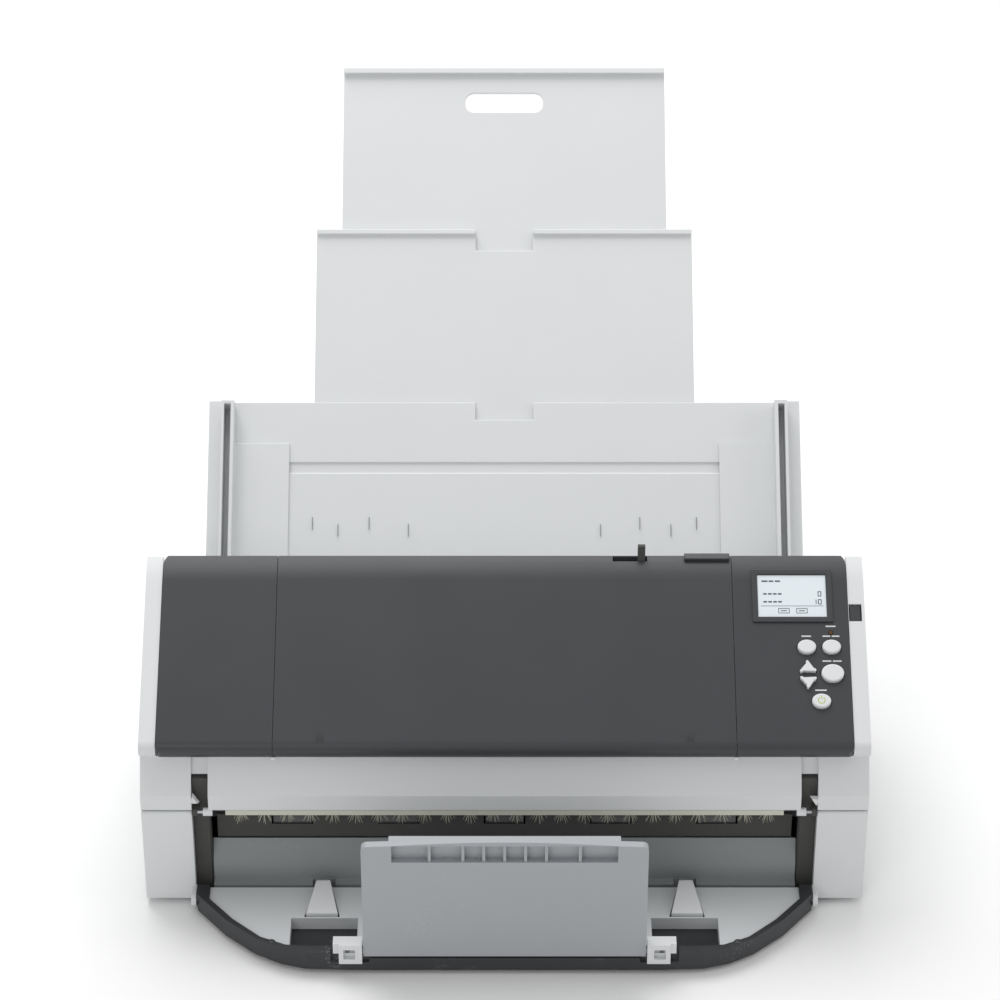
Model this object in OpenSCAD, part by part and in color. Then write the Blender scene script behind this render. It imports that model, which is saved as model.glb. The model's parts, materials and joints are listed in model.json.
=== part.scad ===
// Sheet fed document scanner: wide desktop machine with a rear paper chute,
// a front-hinged upper unit and a fold-up stacker tray.
// +X is the user's right, +Y the rear, +Z up. The origin is under the middle
// of the whole machine, at the surface it stands on.

/* [Body] */
// Overall width over the side covers
body_w = 380; // [370:1:460]
// Depth of the base from its front plane to its rear face
base_depth = 168; // [160:1:200]
// Height of the seam between the base and the upper unit
seam_z = 61.3; // [61:0.1:62]
// Ground clearance under the base, filled by the feet
foot_h = 3; // [2:0.1:4]
// Width of each front pillar
pillar_w = 26.5; // [22:0.5:30]
// Wall thickness of the moulded side covers and rear cover
wall = 3; // [2:0.1:4]

/* [Stacker bay] */
// Width of each black column beside the bay
column_w = 8.2; // [6:0.1:9]
// How far the columns stand back from the front plane
column_setback = 6; // [4:0.5:7]
// Height of the column tops
column_top = 79; // [74:0.5:79]

/* [Upper unit] */
// Slope of the top cover in degrees
cover_tilt = 30.5; // [28:0.5:32]
// Thickness of the dark cover panels
cover_t = 2.5; // [1.8:0.1:3]
// Width of the light rim outside the dark covers
rim_w = 9; // [6:0.5:12]
// Half width of the middle cover panel
seam_x = 120.25; // [100:0.25:122]
// Largest opening angle of the upper unit
lid_open = 75; // [45:1:75]

/* [Operator panel] */
// Width of the display window
lcd_w = 36.4; // [30:0.1:38]
// Height of the display window along the slope
lcd_h = 24.5; // [20:0.1:25]
// Height of the buttons above the cover
button_proud = 2.4; // [1.5:0.1:3]
// Gap round each button
button_gap = 0.45; // [0.3:0.05:0.7]

/* [Paper chute] */
// Slope of the chute in degrees
chute_tilt = 41; // [38:0.5:44]
// Outer width of the chute
chute_w = 325.4; // [300:1:326]
// Length of the chute panel along its slope
chute_l = 126.8; // [115:1:140]
// Width of the first extension
ext_w = 210; // [160:1:230]
// How far the first extension stands out of the chute
ext1_out = 102; // [60:1:104]
// How far the second extension stands out of the first
ext2_out = 98; // [60:1:100]

/* [Rollers] */
// Radius of the pick roller
pick_r = 12; // [10:0.5:12.5]
// Radius of the brake roller
brake_r = 9; // [7:0.5:9.5]
// Radius of the feed roller
feed_r = 8; // [6:0.5:8.5]
// Radius of the eject roller
eject_r = 7; // [5:0.5:7.5]
// Radius of the roller shafts
shaft_r = 3; // [2:0.1:3.5]
// Running clearance of shafts and pins in their bores
run_fit = 0.05; // [0.02:0.01:0.1]

/* [Stacker tray] */
// Half width of the tray frame
tray_half = 162.4; // [155:0.1:162.6]
// Depth of the tray in front of the front plane
tray_reach = 57.4; // [50:0.1:57.6]
// Height of the tray frame wall
tray_wall_h = 11; // [9:0.1:11]
// Width of the stopper plate
stopper_w = 146; // [110:1:146]
// Height of the stopper plate above its hinge
stopper_h = 73.5; // [50:0.5:74]

/* [Hidden] */
$fn = 48;

// Colours
light_gray = "#d6d8d9";
mid_gray = "#8c9091";
dark_gray = "#4a4b4d";
black = "#2a2826";
steel = "#b4b8bc";

// Shared clearances and the shell's places
gap = 0.3;
half_w = body_w / 2;
pillar_x = half_w - pillar_w;
bay_x = pillar_x - gap - column_w;
lid_z = seam_z + 0.7;
hinge_y = 1;
hinge_z = seam_z - gap;
pin_r = 1;
tray_pin = [-6, foot_h + 5];
tray_pin_r = 1.5;

// Front face of the upper unit
brow_z = lid_z + 10;
brow_back = [11.2, lid_z + 26.6];

// Top cover: a bullnose, a straight slope and a long shallow rear arc
nose_r = 6;
nose_c = [10.5, lid_z + 35];
slope_l = 84.7;
crown_r = 60;
crown_turn = 14.6;
lid_rear = 103.5;
function turn(a) = [cos(a), sin(a)];
function arc(c, r, a0, a1, n) = [for (i = [0:n]) c + r * turn(a0 + (a1 - a0) * i / n)];
function backwards(p) = [for (i = [len(p) - 1:-1:0]) p[i]];
slope_n = 90 + cover_tilt;
slope_start = nose_c + nose_r * turn(slope_n) + 7.6 * turn(cover_tilt);
function on_slope(s, h) = slope_start + s * turn(cover_tilt) + h * turn(slope_n);
crown_c = on_slope(slope_l, -crown_r);
crown_end = crown_c + crown_r * turn(slope_n - crown_turn);

// The outline of the cover's surface, sunk by d
function crown_stop(d) = slope_n - crown_turn + (d > 1 ? 2.6 : 0);
function cover_line(d) = concat(
    arc(nose_c, nose_r - d, 260, slope_n, 10),
    arc(crown_c, crown_r - d, slope_n, crown_stop(d), 4),
    [[lid_rear - d, crown_end[1] - 2.6 - d], [lid_rear - d, crown_end[1] - 5]]
);

// Paper path through the machine: the surface the sheet follows
path = [[0, 47], [40, 61], [80, 80], [110, 100.5]];
function path_z(y, i = 0) =
    i >= len(path) - 2 || y <= path[i + 1][0]
        ? path[i][1] + (y - path[i][0]) * (path[i + 1][1] - path[i][1]) / (path[i + 1][0] - path[i][0])
        : path_z(y, i + 1);
function path_band(y0, y1, low, high) = concat(
    [[y0, path_z(y0) + low]],
    [for (p = path) if (p[0] > y0 && p[0] < y1) p + [0, low]],
    [[y1, path_z(y1) + low], [y1, path_z(y1) + high]],
    backwards([for (p = path) if (p[0] > y0 && p[0] < y1) p + [0, high]]),
    [[y0, path_z(y0) + high]]
);
guide_half = 151.6;
guide_play = 1.5;
guide_t = 1.6;

// Roller centres, each a nip away from the path on its own side
nip = 0.2;
function path_slope(i) = atan2(path[i + 1][1] - path[i][1], path[i + 1][0] - path[i][0]);
function by_path(i, y, r) = [y, path_z(y)] + (r + sign(r) * nip) * turn(path_slope(i) + 90);
pick_c = by_path(2, 96, -pick_r);
brake_c = by_path(2, 96, brake_r);
feed_c = by_path(1, 79.2, -feed_r);
feed_idler_r = 6;
feed_idler_c = by_path(1, 79.2, feed_idler_r);
eject_c = by_path(0, 18, -eject_r);
eject_idler_r = 5;
eject_idler_c = by_path(0, 18, eject_idler_r);
idler_shaft_r = 2;
roller_half = 140;
plate_x = 157.6;
plate_t = 1.5;
pulley_x = -(plate_x + plate_t + 1.5);
pulley_w = 5;
motor_c = [66, 22];
motor_r = 14;
motor_shaft_r = 2;
motor_pulley_r = 6;
pick_pulley_r = 8;
feed_pulley_r = 6.2;
eject_pulley_r = 4.2;
belt_t = 1;
belt_step = 7;

// Scan units: long boxes either side of the path
scan_s = 8;
scan_l = 26;
scan_depth = 27;
scan_half = 155;

// Stacker bay
column_back = 12;
bay_crease = [6.5, foot_h + 20];
bay_top = [12, foot_h + 32];
sill_y = 1.4;
sill_z = foot_h + 9;

// Chute frame: s runs up the slope, h stands off its surface
chute_base = [112, 102.3];
chute_half = chute_w / 2;
chute_rim = 7.2;
chute_skin = 2.2;
ext_t = 2.4;
ext_play = 0.4;
ext1_h = -chute_skin - ext_play;
ext2_h = ext1_h - ext_t - ext_play;
chute_deep = -ext2_h + ext_t + ext_play;
ext1_in = 27;
ext2_in = 24;
ext1_l = ext1_in + ext1_out;
ext2_l = ext2_in + ext2_out;
ext1_s = chute_l - ext1_in;
ext2_s = chute_l + ext1_out - ext2_in;
guide_w = 7.1;
guide_h = 14;
chute_top = chute_base + (ext2_s + ext2_l) * turn(chute_tilt) + (ext2_h - ext_t) * turn(chute_tilt + 90);

// Stacker tray
tray_rear = -0.4;
floor_top = foot_h + 9;
floor_t = 2;
tray_base_t = 1.5;
ring_w = 6.4;
riser_x = 95.7;
riser_front_w = 16.8;
riser_rear_w = 6.9;
riser_y0 = -24.5;
riser_y1 = -2.5;
riser_slot = 1;
pocket_x0 = 76.7;
pocket_x1 = 111.7;
pocket_y0 = -49.6;
pocket_y1 = -26.4;
stopper_pin = [-tray_reach + 2.4, foot_h + 12];
stopper_pin_r = 2;
stopper_half = stopper_w / 2;
stopper_y0 = -tray_reach;
stopper_foot = foot_h + 9.2;
stopper_top = stopper_pin[1] + stopper_h - 2.5;
bracket_w = 12;
bracket_y0 = -59;

// The whole machine is moved so that its box stands centred on the origin
mid_y = (bracket_y0 + chute_top[0]) / 2;
module seated() { translate([0, -mid_y, 0]) children(); }
// A side profile given as [y, z], spread from x0 to x1
module profile(x0, x1) { translate([x0, 0, 0]) rotate([90, 0, 90]) linear_extrude(x1 - x0) children(); }
module block(x0, x1, y0, y1, z0, z1) { translate([x0, y0, z0]) cube([x1 - x0, y1 - y0, z1 - z0]); }
module rod(c, r, x0, x1) { translate([x0, c[0], c[1]]) rotate([0, 90, 0]) cylinder(r = r, h = x1 - x0); }
module both() {
    children();
    mirror([1, 0, 0]) children();
}
// Stands children on the sloped cover: local z is out of the cover
module on_cover(x, s, h = 0) {
    at = on_slope(s, h);
    translate([x, at[0], at[1]]) rotate([cover_tilt, 0, 0]) children();
}
module on_chute(x, s, h = 0) {
    at = chute_base + s * turn(chute_tilt) + h * turn(chute_tilt + 90);
    translate([x, at[0], at[1]]) rotate([chute_tilt, 0, 0]) children();
}
module plate(x0, x1, s0, s1, h0, h1) { translate([x0, s0, h0]) cube([x1 - x0, s1 - s0, h1 - h0]); }
module rounded_rect(x0, x1, y0, y1, r_low, r_high) {
    n = 8;
    polygon(concat(
        arc([x0 + r_low, y0 + r_low], r_low, 180, 270, n), arc([x1 - r_low, y0 + r_low], r_low, 270, 360, n),
        arc([x1 - r_high, y1 - r_high], r_high, 0, 90, n), arc([x0 + r_high, y1 - r_high], r_high, 90, 180, n)
    ));
}

// ---- Base ----
side_line = [
    [1, foot_h], [0, foot_h + 1], [0, seam_z - 0.8], [0.8, seam_z], [46.5, seam_z],
    [lid_rear, seam_z + 44.3], [lid_rear + 0.8, seam_z + 44.9], [lid_rear + 0.8, seam_z + 56.7],
    [base_depth - 22, seam_z + 56.7], [base_depth - 4, seam_z + 42.7],
    [base_depth, foot_h + 2], [base_depth - 2, foot_h]
];
ear_x0 = tray_half + 0.5;
ear_t = 2.6;
vent_n = 9;
lever_s = 66;

module side_cover() {
    color(light_gray) seated() difference() {
        union() {
            profile(pillar_x, half_w) polygon(side_line);
            profile(ear_x0, ear_x0 + ear_t) polygon(concat(
                arc(tray_pin, 4.4, 180, 90, 8), [[1, tray_pin[1] + 4.4], [1, foot_h + 0.5]],
                [[tray_pin[0], foot_h - 0.5]]
            ));
        }
        // Hollow inside, open to the machine behind the pillar
        block(pillar_x + 2.2, half_w - wall, wall, 20, foot_h + wall, seam_z - 2.4);
        profile(pillar_x - 1, half_w - wall) polygon([
            [14.6, foot_h - 1], [14.6, seam_z - 2.4], [45.6, seam_z - 2.4], [101, seam_z + 40.6],
            [114, seam_z + 40.6], [114, foot_h - 1]
        ]);
        profile(pillar_x + 2.2, half_w - wall) polygon([
            [100, foot_h - 1], [100, seam_z + 37], [lid_rear + wall, seam_z + 42], [lid_rear + wall, seam_z + 53.7],
            [base_depth - 23, seam_z + 53.7], [base_depth - 7, seam_z + 41], [base_depth - wall, foot_h - 1]
        ]);
        rod(tray_pin, tray_pin_r + run_fit, ear_x0 - 1, ear_x0 + ear_t + 1);
    }
}
module side_cover_right() { side_cover(); }
module side_cover_left() { mirror([1, 0, 0]) side_cover(); }

pan_t = 2;
module base_pan() {
    color(dark_gray) seated() difference() {
        union() {
            block(-pillar_x + gap, pillar_x - gap, 14.9, base_depth - 3.4, foot_h, foot_h + pan_t);
            // Foot pads reach under the side covers
            both() block(pillar_x - 12, half_w - wall - gap, 20, 113.7, foot_h, foot_h + pan_t);
            // Standing flanges that the frame plates are screwed to
            both() block(plate_x - 2.4, plate_x - gap, 20, 110, foot_h, foot_h + 4.8);
            both() block(-60, -57, 96, 150, foot_h, foot_h + 5);
        }
        for (i = [0:6]) block(-90 + 30 * i, -76 + 30 * i, 120, 124, foot_h - 1, foot_h + pan_t + 1);
    }
}
foot_r = 8;
module feet() {
    color(black) seated() both() for (y = [32, base_depth - 24])
        translate([half_w - 26, y, 0]) cylinder(r = foot_r, h = foot_h);
}
module rear_cover() {
    x1 = pillar_x - gap;
    color(light_gray) seated() difference() {
        profile(-x1, x1) polygon([
            [base_depth - wall, foot_h], [base_depth, foot_h + 2], [base_depth - 4, seam_z + 42.7],
            [base_depth - 22, seam_z + 53], [base_depth - 37, seam_z + 39.9],
            [base_depth - 35.4, seam_z + 37.8], [base_depth - 22, seam_z + 49.6],
            [base_depth - 4 - wall, seam_z + 41.2]
        ]);
        // Cooling slots
        for (i = [0:vent_n - 1]) block(-120 + 9 * i, -115 + 9 * i, base_depth - 12, base_depth + 1, 62, 84);
        // Connector bay
        block(60, 108, base_depth - 12, base_depth + 1, board_top - 0.4, 32);
        // Lock slot
        block(128, 135, base_depth - 12, base_depth + 1, 20, 23);
    }
}
module bay_frame() {
    x0 = bay_x;
    x1 = bay_x + column_w;
    color(black) seated() {
        both() difference() {
            union() {
                block(x0, x1, column_setback, column_back, foot_h + 2, column_top);
                rod([hinge_y, hinge_z], 2.2, x1 - 2.6, x1);
                block(x1 - 2.6, x1, hinge_y, column_setback + 1, hinge_z - 2.2, hinge_z + 2.2);
                // Chamfer strip that turns the column to the bay wall
                profile(x0 - 0.6, x0 + 2) polygon([
                    [column_setback + 1, foot_h + 2], [column_setback + 1, column_top - 20],
                    [column_back, column_top - 20], [column_back, foot_h + 2]
                ]);
            }
            rod([hinge_y, hinge_z], pin_r + run_fit, x0, x1 + 1);
        }
        // Cross bar behind the bay wall
        block(-x0, x0, column_back + 3, column_back + 6, foot_h + 2 + gap, foot_h + 14);
        both() block(x0, x1, column_back, column_back + 6, foot_h + 2 + gap, foot_h + 14);
    }
}
module bay_wall() {
    x1 = bay_x - 0.6 - gap;
    t = 2.2;
    color(mid_gray) seated() difference() {
        union() {
            profile(-x1, x1) polygon([
                [sill_y, foot_h + 0.5], [sill_y, sill_z], [bay_crease[0], sill_z], bay_crease, bay_top,
                bay_top + [t, -1], bay_crease + [t, -1.2], [bay_crease[0] + t, foot_h + 0.5]
            ]);
            // Stiffening ribs that reach the cross bar
            for (i = [-3:3]) block(44 * i - 1, 44 * i + 1, bay_crease[0] + t - 0.2, column_back + 3,
                foot_h + 3, foot_h + 12);
        }
        // Room for the risers' tips as the tray folds up
        both() block(riser_x - riser_rear_w / 2 - 2.6, riser_x + riser_rear_w / 2 + 2.6,
            sill_y - 1, bay_crease[0] - gap, foot_h - 1, sill_z + 1);
    }
}

module scan_window(s0, s1, high) {
    rise = path_slope(1);
    translate([0, path[1][0], path[1][1]]) rotate([rise, 0, 0])
        plate(-scan_half - 1, scan_half + 1, s0, s1, high ? 0 : -20, high ? 20 : 0);
}
module lower_guide() {
    color(dark_gray) seated() difference() {
        union() {
            profile(-guide_half, guide_half) polygon(path_band(13, 110, -guide_play - guide_t, -guide_play));
            profile(-guide_half, guide_half) polygon([
                [bay_top[0] + 0.6, bay_top[1] + 0.6], [bay_top[0] + 2, bay_top[1] + 0.6],
                [15, path_z(15) - guide_play - 1], [13, path_z(13) - guide_play - 1]
            ]);
            both() profile(guide_half - 2, guide_half) polygon(path_band(13, 110, -guide_play - 9, -guide_play));
            // Mounting ears on the frame plates
            both() for (y = [30, 92]) block(guide_half - 1, plate_x - gap, y - 3, y + 3,
                path_z(y) - 11, path_z(y) - 8);
        }
        scan_window(scan_s - 0.4, scan_s + scan_l + 0.4, false);
        for (x = [-2:2]) {
            rod(eject_c, eject_r + 1, 56 * x - 11, 56 * x + 11);
            rod(feed_c, feed_r + 1, 56 * x - 11, 56 * x + 11);
        }
        rod(pick_c, pick_r + 1, -32, 32);
        both() {
            rod(eject_c, shaft_r + 2, 20, scan_half);
            rod(feed_c, shaft_r + 2, 20, scan_half);
            rod(pick_c, shaft_r + 2, 20, scan_half);
        }
    }
}
// A scan unit's case in the frame of the path's middle stretch
module scan_case(side) {
    translate([0, path[1][0], path[1][1]]) rotate([path_slope(1), 0, 0]) difference() {
        h0 = side > 0 ? guide_play + 0.3 : -guide_play - 0.3 - scan_depth;
        plate(-scan_half, scan_half, scan_s, scan_s + scan_l, h0, h0 + scan_depth);
        plate(-scan_half + 2, scan_half - 2, scan_s + 2, scan_s + scan_l - 2, h0 + 2, h0 + scan_depth - 2);
        // Window over the optics, with a ledge for the glass
        plate(-guide_half + 4, guide_half - 4, scan_s + 4, scan_s + scan_l - 4,
            side > 0 ? h0 - 1 : h0 + scan_depth - 3, side > 0 ? h0 + 3 : h0 + scan_depth + 1);
        plate(-guide_half + 2, guide_half - 2, scan_s + 2.6, scan_s + scan_l - 2.6,
            side > 0 ? h0 - 1 : h0 + scan_depth - 1.2, side > 0 ? h0 + 1.2 : h0 + scan_depth + 1);
    }
}
module scan_pane(side) {
    glass_t = 1;
    translate([0, path[1][0], path[1][1]]) rotate([path_slope(1), 0, 0])
        plate(-guide_half + 2.3, guide_half - 2.3, scan_s + 2.9, scan_s + scan_l - 2.9,
            side > 0 ? guide_play + 0.4 : -guide_play - 0.4 - glass_t,
            side > 0 ? guide_play + 0.4 + glass_t : -guide_play - 0.4);
}
module lower_scan_unit() {
    color(black) seated() {
        scan_case(-1);
        both() translate([0, path[1][0], path[1][1]]) rotate([path_slope(1), 0, 0])
            plate(scan_half, plate_x - gap, scan_s + 8, scan_s + 18, -22, -12);
    }
}
module lower_glass() { color("#9fb4b8") seated() scan_pane(-1); }

module frame_plates() {
    color(steel) seated() both() difference() {
        profile(plate_x, plate_x + plate_t) polygon([
            [19, foot_h + pan_t + gap], [19, foot_h + 20], [14.5, foot_h + 36], [14.5, path_z(14) - 3],
            [40, path_z(40) - 3], [80, path_z(80) - 3], [101, path_z(101) - 3],
            [118, path_z(101) - 3], [118, 70], [130, 55], [130, foot_h + pan_t + gap]
        ]);
        rod(pick_c, shaft_r + run_fit, plate_x - 1, plate_x + plate_t + 1);
        rod(feed_c, shaft_r + run_fit, plate_x - 1, plate_x + plate_t + 1);
        rod(eject_c, shaft_r + run_fit, plate_x - 1, plate_x + plate_t + 1);
        rod(motor_c, motor_shaft_r + 1, plate_x - 1, plate_x + plate_t + 1);
        rod([34, 22], 6, plate_x - 1, plate_x + plate_t + 1);
        rod([106, 36], 12, plate_x - 1, plate_x + plate_t + 1);
    }
}
module drive_motor() {
    color(steel) seated() {
        rod(motor_c, motor_r, -plate_x + gap + 2, -plate_x + gap + 42);
        block(-plate_x + gap, -plate_x + gap + 2, motor_c[0] - 17, motor_c[0] + 17, motor_c[1] - 13, motor_c[1] + 13);
    }
}
module pulley(c, r, out = 0) {
    x = pulley_x - out;
    rod(c, r, x - pulley_w, x);
    rod(c, r + 1.2, x - pulley_w - 0.8, x - pulley_w);
    rod(c, r + 1.2, x, x + 0.6);
}
module motor_pulley() {
    color(mid_gray) seated() {
        pulley(motor_c, motor_pulley_r);
        pulley(motor_c, motor_pulley_r, belt_step);
        rod(motor_c, motor_pulley_r - 2, pulley_x - belt_step, pulley_x - pulley_w);
        rod(motor_c, motor_shaft_r, pulley_x - 2, -plate_x - 0.2);
    }
}
module drive_belt() {
    color(black) seated() difference() {
        union() {
            belt_turns(gap + belt_t, 0.5, pick_c, pick_pulley_r);
            belt_turns(gap + belt_t, 0.5 - belt_step, eject_c, eject_pulley_r);
        }
        belt_turns(gap, 0, pick_c, pick_pulley_r);
        belt_turns(gap, -belt_step, eject_c, eject_pulley_r);
    }
}
// One run of belt round the motor pulley and pulley r at c, by way of the feed pulley for the pick roller
module belt_turns(extra, x, c, r) {
    trim = extra > gap ? 1 : 0;
    translate([pulley_x - pulley_w + x, 0, 0]) rotate([90, 0, 90]) linear_extrude(pulley_w - trim) hull() {
        translate(motor_c) circle(r = motor_pulley_r + extra, $fn = 32);
        translate(c) circle(r = r + extra, $fn = 32);
        if (c == pick_c) translate(feed_c) circle(r = feed_pulley_r + extra, $fn = 32);
    }
}

module tyres(c, r, w) { for (i = [-2:2]) rod(c, r, 56 * i - w / 2, 56 * i + w / 2); }
module driven_roller(c, pulley_r, out = 0) {
    rod(c, shaft_r, pulley_x - out, plate_x + plate_t + 1);
    pulley(c, pulley_r, out);
    rod(c, shaft_r + 1.4, -guide_half + 3, -guide_half + 5);
    rod(c, shaft_r + 1.4, guide_half - 5, guide_half - 3);
}
module pick_roller() {
    color(black) seated() {
        driven_roller(pick_c, pick_pulley_r);
        both() rod(pick_c, pick_r, 5, 29);
        rod(pick_c, pick_r - 4, -5, 5);
    }
}
module feed_roller() {
    color(black) seated() {
        driven_roller(feed_c, feed_pulley_r);
        tyres(feed_c, feed_r, 20);
    }
}
module eject_roller() {
    color(black) seated() {
        driven_roller(eject_c, eject_pulley_r, belt_step);
        tyres(eject_c, eject_r, 20);
    }
}
module main_board() {
    z0 = foot_h + pan_t + 4;
    color("#2f6b46") seated() {
        block(-50, 120, 92, 150, z0, z0 + 1.6);
        for (x = [-44, 114], y = [97, 145]) translate([x, y, foot_h + pan_t]) cylinder(r = 2.6, h = 4);
        block(-30, -6, 108, 132, z0 + 1.6, z0 + 4);
        block(10, 40, 112, 130, z0 + 1.6, z0 + 4);
        block(-44, 40, 95, 100, z0 + 1.6, z0 + 9);
        block(52, 66, 96, 110, z0 + 1.6, z0 + 17);
    }
}
board_top = foot_h + pan_t + 5.6;
module dc_inlet() {
    color(black) seated() difference() {
        block(63, 76, 138, base_depth - 4.6, board_top, 30.5);
        translate([69.5, base_depth - 4, 22]) rotate([90, 0, 0]) cylinder(r = 4.2, h = 12);
    }
    color(steel) seated() translate([69.5, base_depth - 5, 22]) rotate([90, 0, 0]) cylinder(r = 1.1, h = 11.2);
}
module usb_port() {
    color(steel) seated() difference() {
        block(90, 103, 138, base_depth - 4.6, board_top, 27.6);
        block(91, 102, 146, base_depth, board_top + 1, 26.6);
    }
}
module screw(r) {
    difference() {
        cylinder(r = r, h = 2);
        translate([0, 0, 1.2]) cylinder(r = r * 0.5, h = 1, $fn = 6);
    }
    translate([0, 0, -6]) cylinder(r = r * 0.5, h = 6);
}
module cover_screws() {
    color(steel) seated() {
        // Through the frame plates, heads outwards
        both() for (c = [[30, 16], [96, 56]])
            translate([plate_x + plate_t + 0.05, c[0], c[1]]) rotate([0, 90, 0]) cylinder(r = 3, h = 1.8);
        // Under the pan
        for (x = [-140, 140], y = [40, 130]) translate([x, y, foot_h - 1.2]) cylinder(r = 3.2, h = 1.15);
    }
}
module hinge_pins() {
    color(steel) seated() both() {
        rod([hinge_y, hinge_z], pin_r, bay_x - 1, bay_x + column_w - 0.4);
        rod(tray_pin, tray_pin_r, tray_half - ring_w + 0.4, ear_x0 + ear_t);
    }
}

// ---- Chute ----
rail_x = ext_w / 2 + ext_play;
groove_s = 60;
module chute_panel() {
    inner = chute_half - chute_rim;
    color(light_gray) seated() on_chute(0, 0) difference() {
        union() {
            plate(-inner, inner, 0, chute_l, -chute_skin, 0);
            both() plate(inner, chute_half, 0, chute_l, -chute_skin, 2.6);
            both() plate(chute_half - 2, chute_half, 0, chute_l, -chute_deep, -chute_skin);
            both() plate(rail_x, rail_x + 2, 4, chute_l - 4, -chute_deep, -chute_skin);
        }
        // Grooves the side guides ride in
        for (s = [groove_s - 30, groove_s + 26]) plate(-inner + 1, inner - 1, s, s + 6, -1, 1);
        // Finger hollow for drawing the extension out
        plate(-16, 16, chute_l - 10, chute_l + 1, -chute_skin - 1, 1);
    }
}
module chute_back() {
    t = 2;
    color(light_gray) seated() on_chute(0, 0) difference() {
        union() {
            plate(-chute_half, chute_half, 0, chute_l, -chute_deep - t - gap, -chute_deep - gap);
            both() plate(chute_half - 20, chute_half - 18, 12, chute_l - 12, -chute_deep - gap, -chute_skin - gap);
            // Seat ribs that stand on the rear cover's sloped deck
            for (i = [-3:3]) plate(46 * i - 1.5, 46 * i + 1.5, 14.4, 32, -13, -chute_deep - t - gap);
        }
        // Grip slots
        for (i = [0:5]) plate(-60 + 22 * i, -50 + 22 * i, 70, 74, -20, 0);
    }
}
module extension_1() {
    half = ext_w / 2;
    color(light_gray) seated() on_chute(0, 0) difference() {
        union() {
            plate(-half, half, ext1_s, ext1_s + ext1_l, ext1_h - ext_t, ext1_h);
            both() plate(half - 14 + ext_play, half - 12 + ext_play, ext1_s, ext1_s + ext1_l - 2,
                ext2_h - ext_t, ext1_h - ext_t);
            plate(-half, half, ext1_s + ext1_l - 3, ext1_s + ext1_l, ext1_h, ext1_h + 2);
        }
        plate(-16, 16, ext1_s + ext1_l - 12, ext1_s + ext1_l + 1, ext1_h - ext_t - 1, ext1_h + 3);
    }
}
module extension_2() {
    half = ext_w / 2 - 14;
    color(light_gray) seated() on_chute(0, 0) difference() {
        union() {
            plate(-half, half, ext2_s, ext2_s + ext2_l, ext2_h - ext_t, ext2_h);
            plate(-half, half, ext2_s + ext2_l - 3, ext2_s + ext2_l, ext2_h, ext2_h + 3);
        }
        translate([0, ext2_s + ext2_l - 20, ext2_h - ext_t - 1]) linear_extrude(ext_t + 2)
            rounded_rect(-22, 22, -6, 6, 5, 5);
    }
}
module side_guide() {
    x1 = chute_half - chute_rim - gap;
    x0 = x1 - guide_w;
    color(light_gray) seated() on_chute(0, 0) {
        difference() {
            plate(x0, x1, 8, chute_l - 3, gap, guide_h);
            plate(x0 + 2, x1 - 1.6, 10, chute_l - 5, gap + 1.6, guide_h + 1);
        }
        plate(x0 - 30, x0, 16, chute_l - 24, gap, gap + 1.4);
        for (s = [groove_s - 29.6, groove_s + 26.4]) plate(x0 - 20, x1 - 1, s, s + 5.2, -0.7, gap + 0.2);
        plate(x0 - 1.6, x0, 12, 28, gap, guide_h - 2);
    }
}
module side_guide_right() { side_guide(); }
module side_guide_left() { mirror([1, 0, 0]) side_guide(); }

// ---- Upper unit ----
deck_d = cover_t + 0.7;
rim_x = half_w - rim_w;
rim_sink = 0.7;
shell_line = concat(
    [[hinge_y, lid_z], [0, lid_z + 1], [0, brow_z], brow_back],
    arc(nose_c, nose_r - rim_sink, 255, slope_n, 10),
    arc(crown_c, crown_r - rim_sink, slope_n, slope_n - crown_turn, 4),
    [[lid_rear, crown_end[1] - 3.3], [lid_rear, lid_z + 44.3], [47, lid_z]]
);
above_deck = concat(
    [[-20, lid_z + 28.6], [11.5, lid_z + 28.6]],
    arc(nose_c, nose_r - deck_d, 255, slope_n, 6),
    arc(crown_c, crown_r - deck_d, slope_n, crown_stop(deck_d), 4),
    [[lid_rear - deck_d, crown_end[1] - 5.5], [lid_rear + 5, crown_end[1] - 5.5], [lid_rear + 5, 220], [-20, 220]]
);
function lid_hollow(y0, y1) = [
    [y0, lid_z - 2], [y0, y0 > 10 ? nose_c[1] + 2.5 : brow_z - 0.6],
    each (y0 > 10 ? [] : [[brow_back[0] + 2.8, brow_back[1] - 1.2], [brow_back[0] + 4, nose_c[1] + 1]]),
    each (y1 > 50 ? [on_slope(4, -6), on_slope(slope_l - 2, -6), [y1, crown_end[1] - 8.5]] : [on_slope(4, -6), on_slope(11, -6)]),
    [y1, lid_z - 2]
];
notch_deep = 23;
lever_l = 10;
slider_y = 99;
slider_x = 72.7;
slider_run = 13;
slot_x0 = 57.5;
slot_x1 = 75.8;
ops_x = 151.8;
lcd_s = 75.2;
bezel_w = 3;
ops_col = [158.5, 165, 171.5];
menu_s = 45.4;
arrow_up_s = 33.9;
arrow_down_s = 25;
scan_s0 = 30.3;
power_s = 14.5;
led_s = 54.1;

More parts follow.
